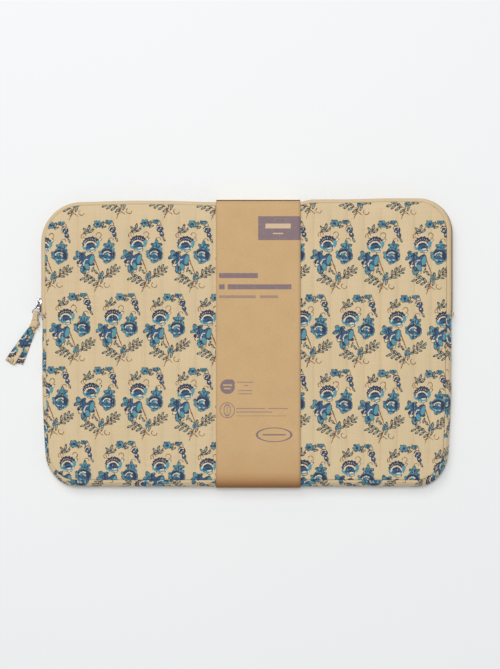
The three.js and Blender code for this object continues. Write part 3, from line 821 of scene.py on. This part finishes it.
def quilting(name, facing, panel):
    """Every stitch of the quilting seams, half sunk in the cloth."""
    tops = np.array([v.co.z for v in panel.data.vertices][:len(PANEL_XY)]) / MM
    parts = []
    first, last = ((side + sign * (SEAM + 3) - FIRST_LINE) / PITCH for side, sign in ((LEFT, 1), (RIGHT, -1)))
    for line in range(math.ceil(first), math.floor(last) + 1):
        x = FIRST_LINE + PITCH * line
        near = np.abs(PANEL_XY[:, 0] - x) < 0.02
        order = np.argsort(PANEL_XY[near, 1])
        ys, zs = PANEL_XY[near, 1][order], tops[near][order]
        start = ys[0] + 2.5 + (line % 3) * 0.7
        parts += [stitch(x, y, facing, ys, zs) for y in np.arange(start, ys[-1] - 3.5, STITCH)]
    vertices, faces = merged(parts)
    return piece(name, vertices, faces, THREAD)


def bends_with_flap(made):
    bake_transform(made)


front = quilted_panel("front_quilt", 1, 11)
front_stitches = quilting("front_quilting", 1, front)
back = quilted_panel("back_quilt", -1, 47)
back_stitches = quilting("back_quilting", -1, back)
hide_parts("front_lower_outer", "front_lower_wadding", "front_lower_lining",
            "front_flap_outer", "front_flap_wadding", "front_flap_lining")
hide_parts("back_panel_outer", "back_panel_wadding", "back_panel_lining")
for made in (front, front_stitches):
    bends_with_flap(made)
for made in (back, back_stitches):
    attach(made, "sleeve")


# ---------------------------------------------------------------- the edge: gusset and zip
def bulge(degrees, depth=0.0):
    """A point [out, z] of the edge's rounded section."""
    angle = np.radians(degrees)
    out = -SEAM + (SEAM - depth) * np.cos(angle)
    z = MID_Z + (HALF_DEPTH - EDGE_DROP - depth) * np.sin(angle)
    return np.stack([out, z], -1)


def grooved(points):
    """Draws the cloth down where it meets a panel's seam."""
    depth, width = 0.8, 0.6
    points = np.array(points, float)
    side = np.sign(points[:, 1] - MID_Z)
    points[:, 1] -= side * depth * np.exp(-(((points[:, 0] + SEAM) / width) ** 2))
    return points


def puckered_bulge(run, degrees, seed, amount):
    """The edge's rounded section with the small folds that the seams draw into the cloth."""
    near_seam = np.exp(-((90 - np.abs(degrees)) / 24) ** 2)
    here = np.full_like(degrees, run)
    out = amount * near_seam * bumps(here, degrees * 0, 3.2, seed)
    out += 0.12 * bumps(here, degrees * 0.2, 9, seed + 1)
    angle = np.radians(degrees)
    return grooved(bulge(degrees)) + out[:, None] * np.stack([np.cos(angle), np.sin(angle)], 1)


def gusset_cloth():
    stations = round_the_bottom(ZIP_END)
    degrees = np.concatenate([np.linspace(90, 60, 9), np.linspace(52, -52, 14), np.linspace(-60, -90, 9)])

    def section(run):
        return np.vstack([puckered_bulge(run, degrees, 5, 0.28), bulge(degrees[::-1], 1.6)])

    vertices, runs = swept(stations, section)
    points = 2 * len(degrees)
    print_start = 1.5  # brings flowers to the part of the strip that shows from above
    across = print_start + (90 - np.concatenate([degrees, degrees[::-1]])) / 180 * 24
    pattern = cloth_places(across, runs)
    faces = rings_to_faces(len(stations), points)
    lined = [1 if (j % points) >= len(degrees) else 0 for j in range(len(faces))]
    faces = capped(faces, len(stations), points)
    return piece("gusset_cloth", vertices, faces, [PRINTED, LINING], pattern, lined + [0, 0])


def tape_cloth(name, facing):
    """The plain strip from a panel's seam to the zip, with the zip's tape turned in beside the coil."""
    stations = over_the_top(ZIP_END)
    degrees = np.concatenate([np.linspace(90, 62, 9), np.linspace(58, 40, 7)])
    turned_in = [[-1.2, 4.6], [-1.5, 4.0], [-2.05, 3.7], [-2.05, 0.5], [-2.7, 0.5], [-2.7, 3.6]]
    tape = np.array(turned_in) + [0, MID_Z]

    def section(run):
        outer = puckered_bulge(run, degrees, 21 + facing, 0.2)
        points = np.vstack([outer, tape, bulge(degrees[::-1], 1.0)])
        return points if facing > 0 else np.column_stack([points[:, 0], 2 * MID_Z - points[:, 1]])

    vertices, runs = swept(stations, section)
    points = 2 * len(degrees) + len(tape)
    pattern = cloth_places(np.linspace(0, 14, points), runs)
    faces = rings_to_faces(len(stations), points)
    on_tape = [1 if len(degrees) + 1 <= (j % points) <= len(degrees) + 5 else 0 for j in range(len(faces))]
    faces = capped(faces, len(stations), points)
    return piece(name, vertices, faces, [PLAIN, TAPE_CLOTH], pattern, on_tape + [0, 0])


def coil_row(name, facing):
    """One row of the zip: a nylon coil, its turns reaching over the middle between those of the other row."""
    pitch, wire, per_turn = 1.5, 0.3, 12
    core_out, reach_out = -0.95, 0.72  # a turn's middle and half size, outwards
    core_z, reach_z = 1.15, 1.25  # and across the zip, from its middle line
    stations = over_the_top(ZIP_END + 0.4, 1.0)
    runs = lengths_along(stations[:, :2])
    turns = int(runs[-1] / pitch)
    s = np.arange(turns * per_turn + 1) / per_turn
    angle = 2 * math.pi * s
    # each turn crosses quickly on the outside, as a tooth does
    along = pitch * (s + 0.13 * np.sin(angle) + (0.5 if facing < 0 else 0.0))
    along = np.clip(along, 0, runs[-1])
    at = np.column_stack([np.interp(along, runs, stations[:, k]) for k in range(4)])
    at[:, 2:] = unit(at[:, 2:])
    out = core_out + reach_out * np.cos(angle)
    x, y = settled(at[:, 0] + at[:, 2] * out, at[:, 1] + at[:, 3] * out, MID_Z)
    z = MID_Z + facing * (core_z + reach_z * np.sin(angle))
    vertices, faces = tube(np.column_stack([x, y, z]), wire, 6)
    return piece(name, vertices, faces, COIL)


def binding(name, facing):
    """Tape folded over the raw edges inside the seam."""
    stations = all_round()
    lining = LINING_Z if facing > 0 else BACK_Z + FRONT_Z - LINING_Z
    lines = [(5.6, 0.2), (7.0, 0.0), (10.0, 0.0), (12.8, 0.0), (14.0, 0.3), (14.5, 0.8), (14.0, 1.35),
             (12.6, 1.5), (10.0, 1.35), (7.4, 1.5), (5.8, 1.1)]

    def section(run):
        wavy = 0.25 * bumps(run, 0, 7, 31 + facing)
        return [(-i, lining - facing * (0.1 + d) + facing * wavy * (0.3 if d > 0.5 else 0)) for i, d in lines]

    vertices, runs = swept(stations, section)
    points = len(lines)
    pattern = cloth_places(np.arange(points) * 1.6, runs)
    faces = rings_to_faces(len(stations), points, closed_path=True)
    return piece(name, vertices, faces, BOUND, pattern)


gusset = gusset_cloth()
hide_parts("gusset_strip", "gusset_strip_lining")
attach(gusset, "sleeve")

for side, name, nodes in (
    (1, "front", ("zip_tape_front", "zip_tape_end_left", "zip_tape_end_right")),
    (-1, "rear", ("zip_tape_rear",)),
):
    strip = tape_cloth(f"zip_strip_{name}", side)
    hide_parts(*nodes)
    row = coil_row(f"zip_coil_{name}", side)
    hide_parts(*(n.replace("tape", "row") for n in nodes))
    edge = binding(f"bound_edge_{name}", side)
    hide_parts(*(("binding_front_lower", "binding_flap") if side > 0 else ("binding_back",)))
    for made in (strip, row, edge):
        if side > 0:
            bends_with_flap(made)
        else:
            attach(made, "sleeve")


# ---------------------------------------------------------------- the card band
def band_path(points, radii):
    """A line through (y, z) points with rounded corners, in steps of about 1 mm."""
    def onward(end):
        gap = int(np.linalg.norm(end - made[-1]))
        return [made[-1] + (end - made[-1]) * t for t in np.linspace(0, 1, gap + 1)[1:]]

    points = [np.array(p, float) for p in points]
    made = [points[0]]
    for before, corner, after, radius in zip(points, points[1:], points[2:], radii):
        a, b = unit(before - corner), unit(after - corner)
        made += onward(corner + a * radius)[:-1]
        centre = corner + (a + b) * radius
        made += [centre - radius * (b * math.cos(t) + a * math.sin(t))
                 for t in np.linspace(0, math.pi / 2, 9)]
    return np.array(made + onward(points[-1]))


def card_strip(name, path, start_y, bow=0.0):
    """A strip of card along the path, across the band's width, with its ink laid out from start_y."""
    count = 26
    columns = np.linspace(BAND_LOW[0], BAND_HIGH[0], count)
    across = (columns - columns.mean()) / 37  # about -1 to 1 over the width
    runs = lengths_along(path)
    ahead = unit(np.gradient(path, axis=0))
    normal = np.column_stack([-ahead[:, 1], ahead[:, 0]])
    layers = []
    for side in (1, -1):
        for (y, z), (ny, nz), run in zip(path, normal, runs):
            lift = bow * smooth(min(run, runs[-1] - run) / 40)
            curve = lift * (0.25 + 0.5 * across**2)
            y_, z_ = y + side * ny * CARD / 2, z + side * nz * CARD / 2 + curve
            layers.append(np.column_stack([columns, np.full(count, y_), z_]))
    places = cloth_places(columns, start_y + runs)
    faces = sheet_faces(len(path), count)
    return piece(name, np.vstack(layers), faces, KRAFT, np.vstack([places] * 2))


wall_y = box_mm("band_bottom_wall")[:, 1].mean()
front_leaf_z = BAND_FRONT_Z - CARD / 2
soft_edge = 1.2  # the sleeve's soft top edge gives way this much under the band
tab_y, top_y = BAND_HIGH[1] - CARD / 2 - soft_edge, -wall_y - soft_edge
FRONT_BEND, TOP_BEND = 8.4, 7.0  # radii of the front leaf's two bends
back_path = band_path(
    [(tab_y, BAND_HIGH[2]), (tab_y, CARD / 2), (wall_y, CARD / 2), (wall_y, MID_Z)], [0.9, 1.6])
front_path = band_path(
    [(wall_y, MID_Z), (wall_y, front_leaf_z), (top_y, front_leaf_z), (top_y, 1.1)], [FRONT_BEND, TOP_BEND])
unprinted = 400  # a place on the card that is far from the ink
band_rear = card_strip("band_card_rear", back_path, unprinted)
rounding = 2 - math.pi / 2  # what a bend of radius 1 saves over a square corner
ink_start = wall_y - (front_leaf_z - MID_Z) + rounding * FRONT_BEND
band_front = card_strip("band_card_front", front_path, ink_start, bow=0.5)
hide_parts("band_back_leaf", "band_glue_tab", "band_bottom_wall")
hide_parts("band_front_leaf", "band_top_wall")
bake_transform(band_rear)
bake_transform(band_front)


# ---------------------------------------------------------------- slider and its ring
def outside_left(out):
    return LEFT - out


def slider_plate(name, out0, out1, width):
    """A slider plate with soft edges: wide where the rows part and narrower where they leave joined."""
    y0, y1 = SLIDER_LOW[1] + 0.6, SLIDER_HIGH[1]
    profile = [(y0, 0.34), (y0 + 0.35 * (y1 - y0), 0.42), (y1 - 2.6, 0.5), (y1 - 1.0, 0.45),
               (y1 - 0.1, 0.28), (y1, 0.1)]
    upper = [(y, MID_Z + width * share) for y, share in profile]
    lower = [(y, 2 * MID_Z - z) for y, z in reversed(upper)]
    loop = upper + lower + [(y0 - 0.5, MID_Z - width * 0.15), (y0 - 0.5, MID_Z + width * 0.15)]
    count = len(loop)
    vertices = [(outside_left(out), y, z) for out in (out0, out1) for y, z in loop]
    faces = rings_to_faces(2, count)
    made = piece(name, vertices, capped(faces, 2, count), METAL)
    return bevelled(made, 0.42)


slider_top = slider_plate("slider_top_plate", 0.35, 1.65, 8.2)
slider_foot = slider_plate("slider_inner_plate", -4.1, -2.9, 7.2)
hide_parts("slider_body")
for made in (slider_top, slider_foot):
    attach(made, "slider")


def bar(name, out, y, z, rounding):
    """A metal block between two heights out from the left side, two places along it and two heights."""
    corners = [(outside_left(a), b, c) for a in out for b in y for c in z]
    faces = [(0, 1, 3, 2), (4, 6, 7, 5), (0, 4, 5, 1), (2, 3, 7, 6), (0, 2, 6, 4), (1, 5, 7, 3)]
    made = piece(name, corners, faces, METAL)
    return bevelled(made, rounding)


slider_end = SLIDER_HIGH[1]
post = bar("slider_post", (0.6, -3.2), (slider_end - 2.6, slider_end - 0.5), (MID_Z - 0.3, MID_Z + 0.3), 0.1)
flanges = []
for side, name in ((1, "front"), (-1, "rear")):
    middle = MID_Z + side * 3.65
    flanges.append(bar(f"slider_flange_{name}", (1.2, -0.5), (slider_end - 7, slider_end - 1.7),
                       (middle - 0.36, middle + 0.36), 0.3))
for made in (post, *flanges):
    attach(made, "slider")


def bail():
    """The arched strap that holds the ring on the slider."""
    low, high = box_mm("slider_bail")
    y0, y1, foot, rise = low[1], high[1], 1.5, LEFT - low[0] - 0.55
    ys = [y0 + 0.6, y0 + 0.6, y0 + 1.1, y0 + 2.4, (y0 + y1) / 2, y1 - 2.4, y1 - 1.1, y1 - 0.6, y1 - 0.6]
    outs = [foot, foot + 1.2, rise - 0.5, rise, rise + 0.1, rise, rise - 0.5, foot + 1.2, foot]
    count = 49
    fine = np.linspace(0, len(ys) - 1, count)
    line = np.column_stack([np.interp(fine, np.arange(len(ys)), values) for values in (ys, outs)])
    for _ in range(3):
        line[1:-1] = (line[:-2] + line[1:-1] + line[2:]) / 3
    ahead = unit(np.gradient(line, axis=0))
    vertices = []
    for (y, out), (ay, ao) in zip(line, ahead):
        for side, half in ((0.45, 0.8), (0.45, -0.8), (-0.45, -0.8), (-0.45, 0.8)):
            vertices.append((outside_left(out + side * ay), y - side * ao, MID_Z + half))
    faces = capped(rings_to_faces(count, 4), count, 4)
    made = piece("slider_bail_strap", vertices, faces, METAL)
    return bevelled(made, 0.2)


strap = bail()
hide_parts("slider_bail")
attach(strap, "slider")

PIVOT = np.array([LEFT - 2.55, 36.4, MID_Z])
RING_END = np.array([-185.3, 26.6, 5.9])


def curve_through(points):
    """A closed smooth curve through the points."""
    path, steps = [], 8
    for i in range(len(points)):
        p0, p1, p2, p3 = (points[(i + k) % len(points)] for k in (-1, 0, 1, 2))
        for t in np.arange(steps) / steps:
            path.append(0.5 * (
                2 * p1 + (p2 - p0) * t + (2 * p0 - 5 * p1 + 4 * p2 - p3) * t**2
                + (3 * p1 - p0 - 3 * p2 + p3) * t**3))
    return path


def pull_ring():
    """A wire loop from the slider's strap to the cloth: half of it is [share of the way, side, lift]."""
    along = RING_END - PIVOT
    across = unit(np.array([along[1], -along[0], 0]))
    half = [(0, 0, 1.6), (0.07, 0, 2.35), (0.3, 0.1, 2.45), (0.55, 0.6, 2.4), (0.8, 2.55, 1.1),
            (0.94, 3.2, 0.2), (1, 2.6, 0)]
    whole = half + [(share, -side, -lift) for share, side, lift in reversed(half)]
    control = [PIVOT + along * share + across * side + np.array([0, 0, lift + 5 * share * (1 - share)])
               for share, side, lift in whole]
    vertices, faces = tube(curve_through(control), 0.5, 12, closed=True)
    return piece("pull_ring_wire", vertices, faces, METAL)


ring = pull_ring()
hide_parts("pull_ring")
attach(ring, "ring")

for node in ("zip_top_stop_front", "zip_top_stop_rear", "zip_bottom_stop"):
    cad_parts[node].data.materials.clear()
    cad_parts[node].data.materials.append(COIL)


# ---------------------------------------------------------------- the knotted cloth pull
def ribbon(name, path, widths, thick, cloth, pattern_at, seed, twist=0.0, ragged=0.0, curl=1.0):
    """A strip of cloth along path, widths wide, with curled edges and cut ends."""
    path = np.asarray(path, float)
    count, across = len(path), 13
    ahead = unit(np.gradient(path, axis=0))
    runs = lengths_along(path)
    widths = np.interp(np.linspace(0, 1, count), np.linspace(0, 1, len(widths)), widths)
    shares = np.linspace(-1, 1, across)
    edge = (thick / 2) * np.sqrt(np.clip(1.04 - shares**4, 0, 1))
    layers = {1: [], -1: []}
    for i, (p, d) in enumerate(zip(path, ahead)):
        side = unit(np.cross(d, (0, 0, 1)))
        up = np.cross(side, d)
        turn = twist * math.sin(math.pi * i / count)
        side, up = side * math.cos(turn) + up * math.sin(turn), up * math.cos(turn) - side * math.sin(turn)
        wave = 0.35 * np.cos(shares * 4.2 + runs[i] * 0.12 + seed)
        fold = curl * (wave + 0.2 * bumps(shares * 4 + seed * 9, np.full(across, runs[i]), 5, seed))
        end = ragged * max(0, (i - count + 4) / 3) * bumps(shares * 9, shares * 0, 1.1, seed + 5)
        middle = p + np.outer(shares * widths[i] / 2, side) + np.outer(end, d)
        for s in (1, -1):
            layers[s].append(middle + np.outer(fold + s * edge, up))
    place = cloth_places(shares, runs)
    place[:, 0] *= np.repeat(widths, across) / 2
    place += pattern_at
    faces = sheet_faces(count, across)
    return piece(name, np.vstack(layers[1] + layers[-1]), faces, cloth, np.vstack([place] * 2))


def pull_loop():
    """The strip's loop through the ring. It leaves the ring square to its end, then bends to the knot."""
    to_knot = KNOT - RING_END
    reach = np.linalg.norm(to_knot) - 3.2
    to_knot = unit(to_knot)
    along = RING_END - PIVOT
    along[:2] *= np.hypot(*to_knot[:2]) / np.hypot(*along[:2])
    along[2] = to_knot[2]
    level = unit(np.array([along[1], -along[0], 0]))
    lift = np.cross(level, along)
    lift *= np.sign(lift[2])
    radius = 1.65
    shares = (0.2, 0.4, 0.6, 0.8, 1)
    middle = [RING_END + reach * t * (along * (1 - t) + to_knot * t) for t in shares]
    over, under = ([m + sign * lift * radius * (1 - 0.1 * t) for m, t in zip(middle, shares)]
                   for sign in (1, -1))
    turn = [RING_END + radius * (along * math.cos(a) + lift * math.sin(a))
            for a in np.linspace(math.pi / 2, 1.5 * math.pi, 13)]
    widths = [5.0, 3.7, 3.0, 3.7, 5.0]
    return ribbon("pull_loop_cloth", over[::-1] + turn + under, widths, 0.8, PLAIN, (14, 20), 7, curl=0.3)


HEADING = unit(np.array([-18.8, -34.4, 0.0]))  # which way the tails lie


def pull_tail(name, splay, z0, z1, length, seed):
    c, s = math.cos(splay), math.sin(splay)
    way = np.array([HEADING[0] * c + HEADING[1] * s, HEADING[1] * c - HEADING[0] * s, 0])
    t = np.linspace(0, 1, 26)[:, None]
    height = z0 + (z1 - z0) * smooth(t * 1.3) + 0.35 * np.sin(t * 9 + seed)
    path = np.array([KNOT[0], KNOT[1], 0]) + way * (2.2 + t * length) + height * [[0, 0, 1]]
    widths = [4.6, 6.4, 7.6, 8.6, 9.2]
    return ribbon(name, path, widths, 0.9, PRINTED, (30 + seed, -7), seed, twist=0.12, ragged=0.9)


def pull_knot():
    """The strip's turns round itself, pulled tight."""
    steps, sides = 40, 10
    a = np.linspace(0, 2 * math.pi, steps, endpoint=False)
    across = np.array([-HEADING[1], HEADING[0], 0])
    parts = []
    for index, (tilt, spread, size) in enumerate(((0.35, 0.0, 1.0), (-0.5, 1.4, 0.94), (0.1, -1.5, 0.9))):
        axis = across * math.cos(tilt) + HEADING * math.sin(tilt)
        oval = np.outer(np.cos(a) * 3.0, axis) + np.outer(np.sin(a) * 2.2, (0, 0, 1))
        path = KNOT + HEADING * spread + size * oval
        path[:, 2] = np.maximum(path[:, 2], 1.5)
        turn, faces = tube(path, 1.0, sides, closed=True)
        middle = np.repeat(path, sides, axis=0)
        away = turn - middle
        stretch = np.outer(away @ HEADING, HEADING)
        uneven = 1 + 0.1 * bumps(turn[:, 0] * 3, turn[:, 1] * 3, 1.7, 60 + index)[:, None]
        parts.append((middle + away * uneven + stretch * 1.1, faces))
    vertices, faces = merged(parts)
    return piece("pull_knot_cloth", vertices, faces, PLAIN)


def pull_pieces():
    return [
        (pull_loop(), "pull_strip_loop"),
        (pull_tail("pull_tail_cloth_over", 0.075, 3.6, 2.6, 38.5, 13), "pull_tail_over"),
        (pull_tail("pull_tail_cloth_under", -0.085, 2.6, 0.95, 36.0, 19), "pull_tail_under"),
        (pull_knot(), "pull_knot"),
    ]


for made, node in pull_pieces():
    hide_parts(node)
    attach(made, "pull")


# ---------------------------------------------------------------- the care label
def care_label():
    low, high = box_mm("care_label")
    xs, ys = np.linspace(low[0], high[0], 16), np.linspace(low[1], high[1], 14)
    x, y = (g.ravel() for g in np.meshgrid(xs, ys))
    free = (high[0] - x) / (high[0] - low[0])  # the label is sewn down along one side
    z = low[2] + 0.35 + free * (1.1 + 0.5 * np.sin(y * 0.35))
    vertices = np.vstack([np.column_stack([x, y, z + side]) for side in (0.12, -0.12)])
    return piece("care_label_satin", vertices, sheet_faces(len(ys), len(xs)), SATIN)


label = care_label()
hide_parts("care_label")
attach(label, "sleeve")


# ---------------------------------------------------------------- floor, light and camera
def stage_floor():
    bpy.ops.mesh.primitive_plane_add(size=8, location=(0, 0, -0.0004))
    floor = bpy.context.object
    floor.name = "floor"
    look = Look("floor_white", roughness=0.7, specular=0.2)
    place = look.node("ShaderNodeTexCoord").outputs["Object"]
    tone = look.node("ShaderNodeTexNoise", {"Vector": place, "Scale": 3.0}).outputs[0]
    floor.data.materials.append(look.done(look.mix(tone, srgb(238, 240, 240), srgb(236, 238, 238))))


def area_light(name, place, aim, size, power):
    light = bpy.data.lights.new(name, "AREA")
    light.size, light.energy = size, power
    made = bpy.data.objects.new(name, light)
    made.location = place
    made.rotation_euler = (Vector(aim) - Vector(place)).to_track_quat("-Z", "Y").to_euler()
    bpy.context.scene.collection.objects.link(made)


def studio():
    stage_floor()
    world = bpy.data.worlds.new("studio")
    bpy.context.scene.world = world
    world.use_nodes = True
    world.node_tree.nodes["Background"].inputs["Color"].default_value = (0.98, 0.99, 1.0, 1)
    world.node_tree.nodes["Background"].inputs["Strength"].default_value = 0.34
    area_light("key", (-0.7, 1.3, 2.2), (0, 0, 0), 1.0, 16)
    area_light("overhead", (-0.1, 0.5, 3.0), (0, 0, 0), 1.0, 50)
    bpy.context.scene.view_settings.view_transform = "Standard"

    view_height = 585.6  # what the picture spans from top to bottom, at the sleeve's middle
    lens, sensor = 85, 36
    camera = bpy.data.cameras.new("camera")
    camera.lens, camera.sensor_width, camera.sensor_fit = lens, sensor, "AUTO"
    camera.clip_end = 20
    made = bpy.data.objects.new("camera", camera)
    made.location = (2.6 * MM, 8.0 * MM, (MID_Z + view_height * lens / sensor) * MM)
    bpy.context.scene.collection.objects.link(made)
    bpy.context.scene.camera = made


studio()
